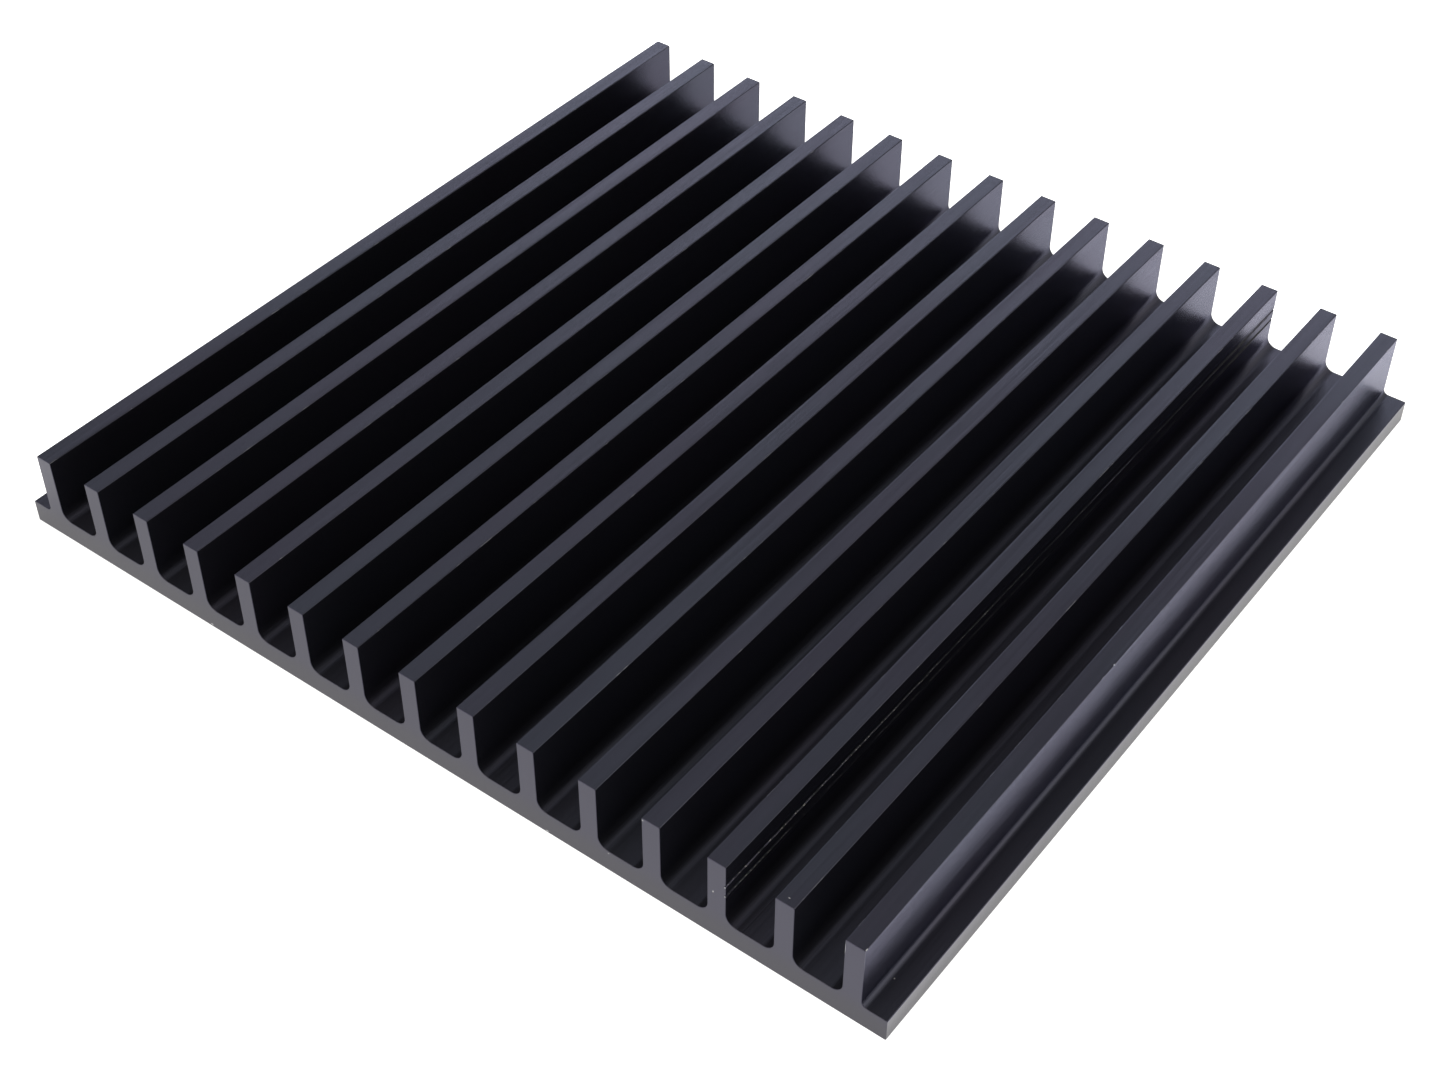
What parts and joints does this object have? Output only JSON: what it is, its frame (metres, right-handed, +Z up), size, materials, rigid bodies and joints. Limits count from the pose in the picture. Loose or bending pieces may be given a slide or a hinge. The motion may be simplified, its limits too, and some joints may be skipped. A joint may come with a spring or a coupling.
{
  "type": "heat sink",
  "caption": "Flat extruded aluminium heat sink: a thin base plate that carries a row of straight parallel fins, with a plain ledge along both sides, anodised black.",
  "frame": {"origin": "centre of the underside", "axes": "+X across the fins, +Y along the extrusion, +Z up from the underside to the fin tips"},
  "size_m": [0.1052, 0.1, 0.01],
  "materials": {
    "black_anodised": "black anodised, satin, with finely drawn lines along the extrusion and saw-cut ends"
  },
  "bodies": {
    "root": {"heat_sink": "black_anodised"}
  },
  "joints": []
}
